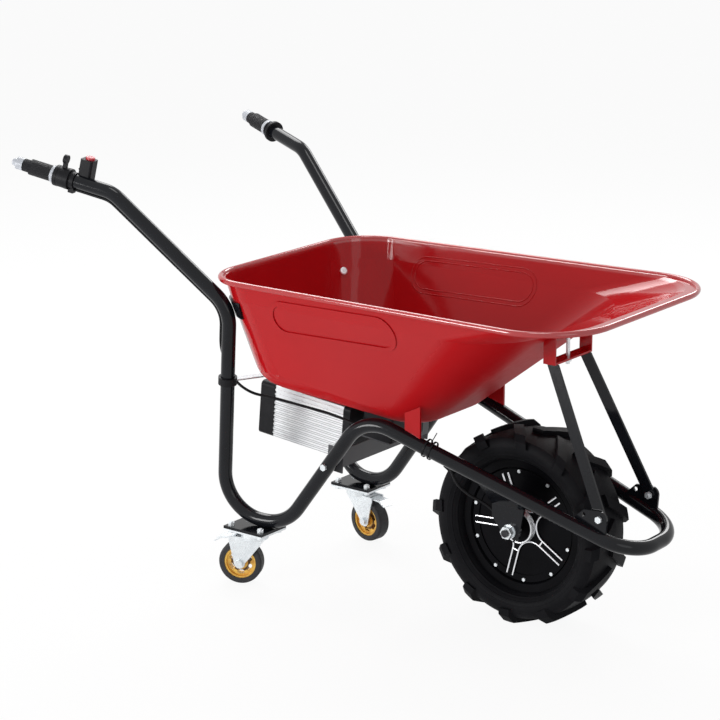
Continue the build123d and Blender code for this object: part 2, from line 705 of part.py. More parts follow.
def castor_core(name):
    centre = Plane(origin=(CASTOR_TRAIL, 0, CASTOR_R), z_dir=(0, 1, 0))
    bore = CASTOR_BORE_R + RUNNING_FIT
    core = ring(centre, CASTOR_CORE_R, bore, -CASTOR_CORE_HALF, CASTOR_CORE_HALF)
    dish_floor = CASTOR_CORE_HALF - CASTOR_DISH_DEPTH
    dish = ring(centre, CASTOR_DISH[1], CASTOR_DISH[0], dish_floor, CASTOR_CORE_HALF)
    core = core - dish - mirror(dish, about=Plane.XZ)
    slot = Rot(0, 0, 90) * SlotCenterToCenter(CASTOR_SLOT_W, CASTOR_SLOT_W)
    for place in PolarLocations(CASTOR_SLOT_RING_R, CASTOR_SLOTS):
        core = core - extrude(centre * place * slot, amount=CASTOR_CORE_HALF, both=True)
    return castor_place(name) * core


def castor_tyre(name):
    centre = Plane(origin=(CASTOR_TRAIL, 0, CASTOR_R), z_dir=(0, 1, 0))
    tyre = ring(centre, CASTOR_R, CASTOR_CORE_R, -CASTOR_HALF, CASTOR_HALF)
    edges = tyre.edges().filter_by(GeomType.CIRCLE).sort_by(SortBy.RADIUS)[-2:]
    return castor_place(name) * fillet(edges, CASTOR_TYRE_ROUND)


def castor_pedal(name):
    """Brake pedal that pivots between the fork plates behind the crown."""
    x, z = PEDAL_PIVOT
    pivot = Plane(origin=(x, 0, z), z_dir=(0, 1, 0))
    pin_half = FORK_IN + FORK_T
    barrel = ring(pivot, PEDAL_R, 0, -PEDAL_HALF, PEDAL_HALF)
    barrel = barrel + ring(pivot, PEDAL_PIN_R, 0, -pin_half, pin_half)
    knee = PEDAL_REACH - 2 * PEDAL_DROP
    tread = [(x, z + PEDAL_R), (knee, z + PEDAL_T - 1), (PEDAL_REACH, z - PEDAL_DROP)]
    tread += [(PEDAL_REACH - 2, z - PEDAL_DROP - 2), (knee - 1, z - 1), (x, z)]
    plate = extrude(Plane.XZ * make_face(Polyline(tread, close=True)), amount=PEDAL_HALF, both=True)
    return castor_place(name) * (barrel + plate)


# Tray
def tray_section(rear, front, rear_r, front_r, grow, ahead):
    """Rounded outline through the rear and front edges, grown all round and by ahead in front."""
    way = Vector(front[0] - rear[0], 0, front[2] - rear[2])
    length = way.length + grow + ahead
    plane = Plane(origin=(rear[0], 0, rear[2]), x_dir=way, z_dir=way.cross(Vector(0, 1, 0)))
    wide = [rear[1] + grow, front[1] + grow]
    corners = [(0, -wide[0]), (length, -wide[1]), (length, wide[1]), (0, wide[0])]
    face = make_face(Polyline(corners, close=True))
    face = fillet(face.vertices().group_by(Axis.X)[0], rear_r)
    for corner in corners[1:3]:
        face = fillet(face.vertices().sort_by_distance(Vertex(*corner, 0))[0:1], front_r)
    return plane * Pos(-grow, 0) * face


def rear_wall(z):
    """(x, half width, z) of the rear wall at this height."""
    part = (z - FLOOR_REAR[2]) / (WALL_REAR[2] - FLOOR_REAR[2])
    x, half = [low + (high - low) * part for low, high in zip(FLOOR_REAR[:2], WALL_REAR[:2])]
    return x, half, z


def tray_form(grow):
    """Solid block in the shape of the tray, grown or shrunk by this much."""
    ahead = SLOPE_GROWTH * grow
    edges = [(FLOOR_REAR, FLOOR_FRONT, FLOOR_REAR_R, FLOOR_FRONT_R, grow)]
    edges.append((rear_wall(FLARE[2]), FLARE, REAR_CORNER_R, FLARE_R, 0))
    edges.append((WALL_REAR, WALL_FRONT, REAR_CORNER_R, FRONT_CORNER_R, 0))
    sections = []
    for rear, front, rear_r, front_r, lower in edges:
        ends = [(x, half, z - lower) for x, half, z in (rear, front)]
        sections.append(tray_section(*ends, rear_r + grow, front_r + grow, grow, ahead))
    block = loft(sections, ruled=True)
    low_face = block.faces().sort_by(Axis.Z)[0]
    return fillet(low_face.outer_wire().edges(), FLOOR_ROUND + grow)


def tray_rim():
    """Flat lip turned out from the wall, ending in a rolled bead."""
    edges = (WALL_REAR, WALL_FRONT)
    outline = tray_section(*edges, REAR_CORNER_R + LIP, FRONT_CORNER_R + LIP, LIP, FRONT_LIP)
    radii = (REAR_CORNER_R - TRAY_T, FRONT_CORNER_R - TRAY_T)
    hole = tray_section(*edges, *radii, -TRAY_T, -SLOPE_GROWTH * TRAY_T)
    lip = extrude(outline - hole, amount=-TRAY_T)
    edge = outline.faces()[0].outer_wire()
    start = Plane(origin=edge @ 0, z_dir=edge % 0)
    return lip + sweep(start * Circle(BEAD), path=edge)


def tray_panels():
    """Plain raised outline on each side wall."""
    rear = Vector(PANEL_X[0], PANEL_Z[0])
    front = Vector(PANEL_X[1], PANEL_Z[1])
    plane = Plane(origin=(rear.X, 0, rear.Y), x_dir=(front.X - rear.X, 0, front.Y - rear.Y), z_dir=(0, -1, 0))
    length = (front - rear).length
    outline = SlotOverall(length + PANEL_RIDGE_W, 2 * PANEL_HALF_H + PANEL_RIDGE_W)
    outline = outline - SlotOverall(length - PANEL_RIDGE_W, 2 * PANEL_HALF_H - PANEL_RIDGE_W)
    band = extrude(plane * Pos(length / 2, 0) * outline, amount=2 * WALL_FRONT[1], both=True)
    return band & tray_form(PANEL_RIDGE_H)


def tray(outer, inner):
    holes = [ring(tray_bolt_plane(side, outer), BOLT_R, 0, -20, 20) for side in SIDES.values()]
    return outer + tray_panels() - inner + tray_rim() - holes


def rear_tab(side, outer, skin):
    """Plate that follows the tray corner from the bolt to the frame tube."""
    block = box_between((-680, -560), (side * TAB_Y[0], side * TAB_Y[1]), TAB_Z)
    hole = ring(tray_bolt_plane(side, outer), BOLT_R, 0, -20, 20)
    plate = (block & skin) - outer - side_envelope(side, TUBE_R) - hole
    return plate.solids().sort_by(SortBy.VOLUME)[-1]


def tray_bolt_plane(side, outer):
    """Plane on the outside of the rounded rear corner at the bolt, facing into the tray."""
    x, half, z = rear_wall(TRAY_BOLT_Z)
    start = Vector(x + REAR_CORNER_R, side * (half - REAR_CORNER_R), z)
    turn = radians(TRAY_BOLT_TURN)
    way = Vector(-cos(turn), side * sin(turn), 0)
    hits = outer.find_intersection_points(Axis(start, way))
    point, facing = max(hits, key=lambda hit: (hit[0] - start).dot(way))
    return Plane(origin=point, z_dir=-facing)


def tray_bolt(side, outer, skin):
    """Carriage bolt through the rear corner, square to it, head inside."""
    plane = tray_bolt_plane(side, outer)
    inside = TRAY_T + 6 * SEAT
    outside = TAB_T
    head = ring(plane, BOLT_HEAD_R, 0, inside, inside + 4)
    rims = head.edges().filter_by(GeomType.CIRCLE)
    head = fillet(rims.sort_by_distance(plane.offset(50).origin)[0:1], 3)
    nut = extrude(plane.offset(-outside) * RegularPolygon(NUT_R, 6), amount=-NUT_H) - skin
    return head + ring(plane, BOLT_R - FIT, 0, -outside - NUT_H - 3, inside) + nut


def front_bracket(outer):
    """Hat-shaped strap under the front slope."""
    block = box_between(STRAP_X, (-STRAP_HALF, STRAP_HALF), (STRAP_Z, STRAP_Z + STRAP_LEG))
    inside = box_between((0, 200), (-STRAP_HALF + STRAP_T, STRAP_HALF - STRAP_T), (STRAP_Z + STRAP_T, 800))
    x = sum(STRAP_X) / 2
    return block - inside - outer - rod((x, 0, 500), (x, 0, 700), BOLT_R + SEAT)


def front_stud(outer):
    """Stud under the slope with the nut that holds the strap."""
    x = sum(STRAP_X) / 2
    stud = rod((x, 0, STRAP_Z - NUT_H - 6), (x, 0, 700), BOLT_R) - outer
    stud = stud.solids().sort_by(Axis.Z)[0]
    return stud + extrude(Pos(x, 0, STRAP_Z) * RegularPolygon(NUT_R + 1, 6), amount=-NUT_H)


def lower_bracket(side, clear):
    """Upright plate between the tray and the top of the rail."""
    y = abs(rail_point(sum(LOWER_BRACKET_X) / 2, LEFT).Y)
    wide = (side * (y - LOWER_BRACKET_T / 2), side * (y + LOWER_BRACKET_T / 2))
    plate = box_between(LOWER_BRACKET_X, wide, LOWER_BRACKET_Z) - clear - side_envelope(side, TUBE_R)
    return plate.solids().sort_by(Axis.Z)[-1]


# Battery, rail and controller on their tilted axis: U back, V right, W up
def tilted():
    """Frame at the foot of the case, which hangs by its top at a fixed height over the seat."""
    tilt = radians(BATTERY_TILT)
    up = Vector(sin(tilt), 0, cos(tilt))
    foot = Vector(BATTERY_SEAT) + up * (BATTERY_HANG_H - BATTERY_H)
    return Plane(origin=foot, x_dir=(-cos(tilt), 0, sin(tilt)), z_dir=up)


def tilted_box(u, v, w):
    return tilted().location * box_between(u, v, w)


def battery_case():
    """Ribbed aluminium tube with the sliding tongue on top."""
    wide = BATTERY_HALF_W
    case = tilted_box(CASE_U, (-wide, wide), (0, BATTERY_H))
    hollow = (CASE_WALL - wide, wide - CASE_WALL)
    case = case - tilted_box(CASE_U, hollow, (CASE_WALL, BATTERY_H - CASE_WALL))
    step = BATTERY_H / (RIBS + 1)
    for k in range(1, RIBS + 1):
        for side in SIDES.values():
            reach = (side * (wide - 1), side * (wide + RIB_H))
            case = case + tilted_box(CASE_U, reach, (step * k - RIB_T / 2, step * k + RIB_T / 2))
    stem_top = BATTERY_H + STEM_H
    case = case + tilted_box(CASE_U, (-STEM_HALF, STEM_HALF), (BATTERY_H, stem_top))
    return case + tilted_box(CASE_U, (-TONGUE_HALF, TONGUE_HALF), (stem_top, stem_top + TONGUE_T))


def battery_cap(u_near, u_far):
    """Plastic end cap a little larger than the case."""
    wide = BATTERY_HALF_W + RIB_H + CAP_OVERHANG / 2
    cap = tilted_box((u_near, u_far), (-wide, wide), (-CAP_OVERHANG, BATTERY_H + CAP_OVERHANG))
    return fillet(cap.edges().filter_by(Axis((0, 0, 0), tilted().x_dir)), CAP_ROUND)


def battery_caps():
    rear = battery_cap(CASE_U[1], CASE_U[1] + REAR_CAP_T)
    front = battery_cap(CASE_U[0] - FRONT_CAP_T, CASE_U[0])
    return group([rear, front])


def tail_lens():
    u = CASE_U[1] + REAR_CAP_T
    half = LENS_SIZE[1] / 2
    low = BATTERY_H / 2 - LENS_SIZE[2] / 2
    return tilted_box((u, u + LENS_SIZE[0]), (-half, half), (low, low + LENS_SIZE[2]))


def battery_cells():
    gap = CASE_WALL + 2
    wide = BATTERY_HALF_W - gap
    return tilted_box((CASE_U[0] + gap, CASE_U[1] - gap), (-wide, wide), (CASE_WALL, BATTERY_H - gap))


def battery_rail():
    """Channel that the tongue slides in, open at the back."""
    lip_low = BATTERY_H + CAP_OVERHANG + SLIDE_FIT
    lip_high = BATTERY_H + STEM_H - SLIDE_FIT
    roof = BATTERY_H + STEM_H + TONGUE_T + SLIDE_FIT
    outside = tilted_box(RAIL_U, (-RAIL_HALF, RAIL_HALF), (lip_low, roof + RAIL_WALL))
    channel = tilted_box(RAIL_U, (-TONGUE_HALF - SLIDE_FIT, TONGUE_HALF + SLIDE_FIT), (lip_high, roof))
    slot = tilted_box(RAIL_U, (-STEM_HALF - SLIDE_FIT, STEM_HALF + SLIDE_FIT), (lip_low, roof))
    return outside - channel - slot


def controller_w():
    top = BATTERY_H + CAP_OVERHANG + SLIDE_FIT
    return (top - CONTROLLER_H, top)


def controller_box():
    half = CONTROLLER_HALF
    box = tilted_box(CONTROLLER_U, (-half, half), controller_w())
    return fillet(box.edges().filter_by(Axis((0, 0, 0), tilted().z_dir)), CONTROLLER_ROUND)


def sheet_half():
    """Half width of the bent sheet, so that it just clears the rises at its top."""
    return abs(rise_point(CROSS_BOLT_Z + CONTROLLER_H, LEFT).Y) - TUBE_R - SEAT


def cross_plate():
    """Bent sheet between the rises that carries the controller."""
    top = controller_w()[0]
    under = top - SHEET_T
    web_u = CONTROLLER_U[1] - WEB_SETBACK
    half = sheet_half()
    inside = half - SHEET_T
    sheet = tilted_box(CONTROLLER_U, (-CONTROLLER_HALF, CONTROLLER_HALF), (under, top))
    sheet = sheet + tilted_box((web_u, web_u + SHEET_T), (-inside, inside), (SHEET_LOW, under))
    flange_u = (web_u, CONTROLLER_U[1] + FLANGE_BACK)
    for side in SIDES.values():
        sheet = sheet + tilted_box(flange_u, (side * inside, side * half), (FLANGE_LOW, under))
    return sheet - [cross_bolt_shank(side, BOLT_R + SEAT) for side in SIDES.values()]


def cross_bolt_shank(side, radius):
    centre = rise_point(CROSS_BOLT_Z, side)
    inner = Vector(centre.X, side * (sheet_half() - SHEET_T - NUT_H - 2), centre.Z)
    return rod(inner, centre + Vector(0, side * (TUBE_R + 1), 0), radius)


def cross_bolt(side):
    centre = rise_point(CROSS_BOLT_Z, side)
    way = Vector(0, side, 0)
    head = extrude(Plane(origin=centre + way * TUBE_R, z_dir=way) * RegularPolygon(NUT_R, 6), amount=HEAD_H)
    nut_at = Vector(centre.X, side * (sheet_half() - SHEET_T), centre.Z)
    nut = extrude(Plane(origin=nut_at, z_dir=-way) * RegularPolygon(NUT_R, 6), amount=NUT_H)
    return cross_bolt_shank(side, BOLT_R) + head + nut


def clamp_plane(side):
    way = (leg_point(0, side) - leg_point(100, side)).normalized()
    return Plane(origin=leg_point(CLAMP_Z, side), z_dir=way)


def leg_clamps():
    outer = TUBE_R + CLAMP_T
    return group([ring(clamp_plane(s), outer, TUBE_R, -CLAMP_H / 2, CLAMP_H / 2) for s in SIDES.values()])


def rear_strap():
    """Flat zinc strap from leg to leg across the top of the rail."""
    top = BATTERY_H + STEM_H + TONGUE_T + SLIDE_FIT + RAIL_WALL
    half = RAIL_HALF + 4
    middle = tilted_box((RAIL_U[1] - STRAP_WIDTH, RAIL_U[1]), (-half, half), (top, top + SHEET_T))
    inner_end = (tilted().location * Pos(RAIL_U[1] - STRAP_WIDTH / 2, 0, top + SHEET_T / 2)).position
    strap = middle
    for side in SIDES.values():
        start = inner_end + Vector(0, side * (RAIL_HALF + 3), 0)
        end = leg_point(CLAMP_Z, side)
        way = end - start
        plane = Plane(origin=start, x_dir=way, z_dir=Vector(1, 0, 0).cross(way) * side)
        flat = Pos(way.length / 2, 0) * Rectangle(way.length, STRAP_WIDTH)
        arm = extrude(plane * flat, amount=SHEET_T / 2, both=True)
        strap = strap + (arm - side_envelope(side, TUBE_R + CLAMP_T))
    return strap


# Handlebar ends
def grip(name):
    """Rubber sleeve, thinner towards its end."""
    plane = grip_plane(SIDES[name])
    thin = ring(plane, GRIP_THIN_R, BAR_R, GRIP_STEP, GRIP_END - GRIP_CAP_LENGTH)
    return thin + ring(plane, GRIP_R, BAR_R, COLLAR[1], GRIP_STEP)


def grip_ends():
    caps = []
    for name, side in SIDES.items():
        plane = grip_plane(side)
        cap = ring(plane, GRIP_THIN_R, 0, GRIP_END - GRIP_CAP_LENGTH, GRIP_END - GRIP_CAP_STEP)
        cap = cap + ring(plane, GRIP_CAP_TIP_R, 0, GRIP_END - GRIP_CAP_STEP, GRIP_END)
        rims = cap.edges().filter_by(GeomType.CIRCLE)
        cap = fillet(rims.sort_by_distance(plane.offset(GRIP_END).origin)[0:1], GRIP_CAP_ROUND)
        caps.append(cap - ring(plane, BAR_R, 0, 0, GRIP_END - GRIP_CAP_T))
    return group(caps)


def grip_collars():
    return group([ring(grip_plane(s), COLLAR_R, BAR_R, *COLLAR) for s in SIDES.values()])


def left_flange():
    plane = grip_plane(LEFT)
    start = TUBE_END["left"]
    sleeve = ring(plane, GRIP_R - 1, BAR_R, start, COLLAR[0])
    return sleeve + ring(plane, FLANGE_R, BAR_R, start + 1, start + 1 + FLANGE_T)


def throttle_housing():
    """Clamp band, drum and the slot that the paddle turns in."""
    plane = grip_plane(RIGHT)
    body = ring(plane, HOUSING_R, BAR_R, *HOUSING) + ring(plane, BAND_R, BAR_R, *BAND)
    ear = Pos(0, -BAND_R - 3) * Rectangle(*BAND_EAR) + Pos(-BAND_R, 0) * Rectangle(*BAND_STUB)
    ear = extrude(plane.offset(BAND[0]) * ear, amount=BAND[1] - BAND[0])
    body = body + (ear - ring(plane, BAND_R - 1, 0, *BAND))
    return body - ring(plane, HOUSING_R + 1, LEVER_R, *LEVER_SLOT)


def throttle_lever():
    """Thumb paddle on a ring that turns about the bar."""
    plane = grip_plane(RIGHT)
    start = LEVER_SLOT[0] + FIT
    end = LEVER_SLOT[1] - FIT
    hub = ring(plane, HOUSING_R - 0.5, LEVER_R + RUNNING_FIT, start, end)
    tip = LEVER_TOP - LEVER_TIP_R
    blade = Pos(0, tip) * Circle(LEVER_TIP_R) + Pos(0, tip / 2) * Rectangle(LEVER_NECK, tip)
    middle = (start + end) / 2
    paddle = extrude(plane.offset(middle - LEVER_T / 2) * blade, amount=LEVER_T)
    return hub + (paddle - ring(plane, HOUSING_R - 1, 0, 0, GRIP_END))


def pod_plane():
    """Plane inside the tube's middle line whose X runs back along the grip and whose Z points up."""
    plane = grip_plane(RIGHT)
    start = (plane * Pos(-POD_INSET, 0, POD[0])).position
    return Plane(origin=start, x_dir=plane.z_dir, z_dir=plane.y_dir)


def switch_pod():
    """Block clamped on the tube with a well for the button and one for the rocker."""
    length = POD[1] - POD[0]
    place = pod_plane().location
    body = place * box_between((0, length), (-POD_W / 2, POD_W / 2), (POD_FLOOR, POD_H))
    body = fillet(body.edges().filter_by(Axis((0, 0, 0), pod_plane().z_dir)), POD_ROUND)
    body = body - button_seat() * extrude(Circle(BUTTON_R + FIT), amount=2 * BUTTON_WELL)
    well_y = ROCKER_W / 2 + FIT
    well_z = (ROCKER_Z - ROCKER_WELL_HALF, ROCKER_Z + ROCKER_WELL_HALF)
    body = body - place * box_between((length - ROCKER_WELL_DEPTH, 2 * length), (-well_y, well_y), well_z)
    return body - side_envelope(RIGHT, TUBE_R) - rocker_pin(ROCKER_PIN_R + RUNNING_FIT)


def button_seat():
    """Floor of the button's well."""
    middle = (POD[1] - POD[0]) / 2
    return pod_plane().location * Pos(middle - BUTTON_SETBACK, 0, POD_H - BUTTON_WELL)


def rocker_place():
    """Middle of the rocker's cross pin."""
    return pod_plane().location * Pos(POD[1] - POD[0] - ROCKER_INSET, 0, ROCKER_Z)


def rocker_pin(radius):
    """Cross pin of the rocker, also used to bore its hole."""
    return rocker_place() * Rot(90, 0, 0) * Cylinder(radius, ROCKER_W + 6)


def power_button():
    lift = BUTTON_TRAVEL + FIT
    cap = extrude(Circle(BUTTON_R), amount=BUTTON_WELL - lift + BUTTON_H)
    cap = fillet(cap.edges().sort_by(Axis.Z)[-1:], 2)
    return button_seat() * Pos(0, 0, lift) * cap


def selector_rocker():
    """Wedge that tips about a cross pin in the rear face of the pod."""
    half = ROCKER_WELL_HALF - 1.5
    outline = [(-3, -half), (3, -half), (ROCKER_INSET + 3, 0), (3, half), (-3, half)]
    wedge = extrude(Plane.XZ * make_face(Polyline(outline, close=True)), amount=ROCKER_W / 2, both=True)
    return rocker_place() * wedge + rocker_pin(ROCKER_PIN_R)


# Leads
def inside_normals(before, corner, after):
    """Unit vectors square to the two runs at a corner, both towards the inside of the bend."""
    first = (corner - before).normalized()
    second = (after - corner).normalized()
    along = first.dot(second)
    return (second - first * along).normalized(), (second * along - first).normalized()


def bend_radii(points):
    """Largest tangent arc that each corner of a route has room for."""
    radii = []
    for before, corner, after in zip(points, points[1:], points[2:]):
        turn = radians((corner - before).get_angle(after - corner))
        shorter = min((corner - before).length, (after - corner).length)
        radii.append(0.45 * shorter / tan(turn / 2))
    return radii


def handlebar_lead():
    """Route of the thin lead under the handle, down the back of the leg and in to the controller."""
    clear = TUBE_R + THROTTLE_LEAD_R + LEAD_GAP
    corners = [on_side(p, RIGHT) for p in (GRIP_TIP, HANDLE_BEND, REAR_BEND, FOOT_REAR)]
    points = []
    for before, corner, after in (corners[:3], corners[1:]):
        first, second = inside_normals(before, corner, after)
        points.append(corner + (first + second) * (clear / (1 + first.dot(second))))
    below = inside_normals(*corners[:3])[0]
    behind = inside_normals(*corners[1:])[1]
    points.insert(0, (grip_plane(RIGHT) * Pos(0, 0, BAND[0] - FIT)).position + below * clear)
    points.append(leg_point(LEAD_OFF_LEG, RIGHT) + behind * clear)
    radii = [HANDLE_BEND_R - clear, REAR_BEND_R - clear]
    end = (tilted().location * Pos(CONTROLLER_U[1] - 30, CONTROLLER_HALF, controller_w()[1] - 22)).position
    loose = [points[-1], Vector(-636, -198, 480), Vector(-632, -178, 436), Vector(-602, -164, 414)]
    loose.append(Vector(-552, -146, 407))
    loose += [end + Vector(-70, -44, 14), end + Vector(-10, -40, 0), end]
    return points + loose[1:], radii + bend_radii(points[-2:-1] + loose), THROTTLE_LEAD_R


def motor_lead():
    """Route of the motor lead from the controller along the rail and in behind the dropout to the axle."""
    clear = TUBE_R + MOTOR_LEAD_R + LEAD_GAP
    start = (tilted().location * Pos(CONTROLLER_U[0], 40, controller_w()[0] + 30)).position
    along, leave = [rail_point(x, RIGHT) + Vector(0, clear, 0) for x in LEAD_ON_RAIL]
    points = [start, start - tilted().x_dir * 40, along, leave, Vector(-112, -119, 316)]
    points += [Vector(-106, -106, 290), Vector(-88, -90, 268), Vector(-62, -70, 251)]
    end = Vector(-AXLE_R - LEAD_GAP, -57, AXLE_Z)
    points += [Vector(-36, -59, 226), end + Vector(-14, 0, 4), end]
    return points, bend_radii(points), MOTOR_LEAD_R


def lead(route):
    points, radii, radius = route
    return bent_rod(points, radii, radius)


def cable_ties():
    ties = []
    around = TUBE_R + MOTOR_LEAD_R + LEAD_GAP / 2 + FIT
    for x in TIE_X:
        centre = rail_point(x, RIGHT) + Vector(0, around - TUBE_R - FIT, 0)
        plane = Plane(origin=centre, z_dir=rail_point(0, RIGHT) - rail_point(-100, RIGHT))
        ties.append(ring(plane, around + TIE_T, around, -TIE_WIDTH / 2, TIE_WIDTH / 2))
    return group(ties)


def build_nodes():
    outer = tray_form(0)
    inner = tray_form(-TRAY_T)
    skin = tray_form(TAB_T)
    clear = tray_form(LOWER_BRACKET_GAP)
    nodes = {"fork_bow": fork_bow()}
    for name, side in SIDES.items():
        nodes["handle_tube_" + name] = handle_tube(name)
        nodes["leg_tube_" + name] = leg_tube(side)
        nodes["fork_rail_" + name] = fork_rail(side)
        nodes["front_brace_" + name] = brace(side)
        nodes["grip_" + name] = grip(name)
        nodes["side_cover_" + name] = side_cover(side)
        nodes["castor_plate_" + name] = castor_plate(name)
        nodes["castor_fork_" + name] = group([castor_fork(name), castor_axle(name)])
        nodes["castor_core_" + name] = castor_core(name)
        nodes["castor_tyre_" + name] = castor_tyre(name)
        nodes["castor_pedal_" + name] = castor_pedal(name)
    sides = SIDES.values()
    nodes["bar_stubs"] = group([bar_stub(name) for name in SIDES])
    nodes["dropouts"] = group([dropout(s) for s in sides])
    nodes["brace_lugs"] = group([lug_plate(s) for s in sides])
    nodes["castor_pads"] = group([castor_pad(s) for s in sides])
    bolts = castor_bolts() + [front_stud(outer)]
    for side in sides:
        bolts += [lug_bolt(side), cross_bolt(side), tray_bolt(side, outer, skin)]
    nodes["frame_bolts"] = group(bolts)
    nodes["tray"] = tray(outer, inner)
    nodes["rear_tabs"] = group([rear_tab(s, outer, skin) for s in sides])
    nodes["front_bracket"] = front_bracket(outer)
    nodes["lower_brackets"] = group([lower_bracket(s, clear) for s in sides])
    nodes["cross_plate"] = cross_plate()
    nodes["leg_clamps"] = leg_clamps()
    nodes["rear_strap"] = rear_strap()
    nodes["battery_rail"] = battery_rail()
    nodes["controller_box"] = controller_box()
    nodes["handlebar_lead"] = lead(handlebar_lead())
    nodes["motor_lead"] = lead(motor_lead())
    nodes["cable_ties"] = cable_ties()
    nodes["axle"] = axle()
    nodes["axle_nuts"] = axle_nuts()
    nodes["stator"] = stator()
    nodes["hub_rim"] = hub_rim()
    nodes["drive_tyre"] = drive_tyre()
    nodes["cover_screws"] = cover_screws()
    nodes["hub_bearings"] = hub_bearings()
    nodes["magnet_ring"] = magnet_ring()
    nodes["battery_case"] = battery_case()
    nodes["battery_caps"] = battery_caps()
    nodes["battery_cells"] = battery_cells()
    nodes["tail_lens"] = tail_lens()
    nodes["grip_ends"] = grip_ends()
    nodes["grip_collars"] = grip_collars()
    nodes["left_flange"] = left_flange()
    nodes["throttle_housing"] = throttle_housing()
    nodes["throttle_lever"] = throttle_lever()
    nodes["switch_pod"] = switch_pod()
    nodes["power_button"] = power_button()
    nodes["selector_rocker"] = selector_rocker()
    return nodes


def main():
    nodes = build_nodes()
    front = nodes["fork_bow"].bounding_box().max.X
    back = nodes["grip_ends"].bounding_box().min.X
    middle = (front + back) / 2
    os.makedirs("parts", exist_ok=True)
    for name, shape in nodes.items():
        export_step(Pos(-middle, 0, 0) * shape, "parts/" + name + ".step")
    print("moved along X by", -middle)
    for name, route in (("handlebar_lead", handlebar_lead()), ("motor_lead", motor_lead())):
        points, radii, radius = route
        length = FilletPolyline(*points, radius=radii).length
        print(name, "bend radii", [round(r) for r in radii], "length", round(length, 1))


main()
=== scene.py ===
import json
from math import cos, pi, radians, sin, tan

import bpy
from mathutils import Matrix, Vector


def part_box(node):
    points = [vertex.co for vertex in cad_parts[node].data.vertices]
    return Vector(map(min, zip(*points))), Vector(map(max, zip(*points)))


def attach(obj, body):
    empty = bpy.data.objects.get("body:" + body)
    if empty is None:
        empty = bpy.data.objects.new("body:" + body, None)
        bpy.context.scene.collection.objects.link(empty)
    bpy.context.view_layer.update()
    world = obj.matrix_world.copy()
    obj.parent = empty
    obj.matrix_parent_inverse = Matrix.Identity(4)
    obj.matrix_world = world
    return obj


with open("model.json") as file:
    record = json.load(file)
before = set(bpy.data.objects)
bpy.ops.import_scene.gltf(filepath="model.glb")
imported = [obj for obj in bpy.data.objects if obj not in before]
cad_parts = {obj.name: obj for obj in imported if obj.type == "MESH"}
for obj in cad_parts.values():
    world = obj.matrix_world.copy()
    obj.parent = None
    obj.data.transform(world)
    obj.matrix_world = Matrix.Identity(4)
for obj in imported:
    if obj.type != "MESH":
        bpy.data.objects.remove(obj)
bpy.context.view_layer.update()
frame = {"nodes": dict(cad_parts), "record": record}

# Sizes and places in metres, in the frame of the solids
AXLE = Vector((0.376333, 0.0, 0.205))
COVER_FACE = 0.029
SPOKES = 5
SPOKE_ANGLE = 40.0
SPOKE_HALF = 0.007
WINDOW_ROUND = 0.0335
LINE_OUT = 0.113
LINE_R = 0.0023
BOSS_R = 0.0322
BOSS_FACES = (0.031, 0.044)
BOSS_RINGS = 5
GRIP_BEND = Vector((-0.464667, 0.319, 0.842))
GRIP_TIP = Vector((-0.684667, 0.381, 0.892))
TYRE_RING_PITCH = 0.009
TYRE_RING_FADE = (0.158, 0.17)
# Inner and outer radius of the ring of painted shade that stands for the slots in each castor centre, and
# the width of its soft edge
SLOT_SHADE_RING = (0.0175, 0.0235)
SLOT_SHADE_BLUR = 0.001
BATTERY_FOOT = (-0.163667, 0.0, 0.288)
BATTERY_TILT = 5.0
# Pitch of the lines of painted shade that stand for the case's fine grooves, and the height where they stop
GROOVE_SHADE_PITCH = 0.0048
GROOVE_SHADE_TOP = 0.09
PRISM_PITCH = 0.003
KNURLS = 36
KNURL_PITCH = 0.0034
PANEL_REAR = Vector((-0.097667, 0.0, 0.616))
PANEL_FRONT = Vector((0.214333, 0.0, 0.625))
PANEL_HALF_H = 0.034
PANEL_EDGES = (-0.0045, 0.0045)
PANEL_LINE_R = 0.0013
RIM_REAR = (-0.263667, 0.677)
RIM_SLOPE = 0.0136
RIM_DEPTH = 0.003
TIE_TOP = Vector((0.2323, -0.1528, 0.3805))
TIE_TAIL = Vector((0.020, -0.004, 0.030))
TIE_TAIL_R = 0.001
FLOOR_SIZE = 60.0

# How many points draw a round
ARC_STEPS = 16
ROUND_POINTS = 48

# Camera solved from the photograph
CAMERA_AT = (2.942873, -3.98164, 1.83368)
CAMERA_YAW = 37.02
CAMERA_DOWN = 15.21
CAMERA_LENS = 121.47

# Light of the surroundings at the horizon and overhead, the way to the backdrop, the floor's whiteness
SKY = (0.22, 0.5)
BACKDROP = (-0.6, 0.8, 0.0)
FLOOR_GLOW = 0.92

# Each lamp's place, width in metres and power in watts, and the point that they face
LAMPS = {
    "key": ((-1.9, -3.8, 0.95), 1.6, 95.0),
    "fill": ((3.6, -1.6, 1.6), 2.0, 12.0),
    "back": ((-0.6, 3.4, 2.6), 1.5, 40.0),
    "rim": ((-2.3, 1.6, 3.2), 2.2, 80.0),
    "top": ((0.2, -0.4, 4.0), 1.2, 20.0),
}
LAMP_TARGET = Vector((0.0, 0.0, 0.45))

# A tray face is turned to the ground where its normal's height is below the first, and not above the second
GROUND_FACING = (-0.6, -0.4)


# Node helpers
def new_material(name):
    """Empty principled material: the material, its tree and its shader."""
    material = bpy.data.materials.new(name)
    material.use_nodes = True
    return material, material.node_tree, material.node_tree.nodes["Principled BSDF"]


def set_sockets(node, **values):
    """Fixed values on a node's own sockets, named with _ for each space."""
    for name, value in values.items():
        node.inputs[name.replace("_", " ")].default_value = value


def math_node(tree, operation, first, second=0.0):
    """One arithmetic step on sockets or numbers."""
    node = tree.nodes.new("ShaderNodeMath")
    node.operation = operation
    for socket, value in zip(node.inputs, (first, second)):
        if isinstance(value, (int, float)):
            socket.default_value = value
        else:
            tree.links.new(value, socket)
    return node.outputs[0]


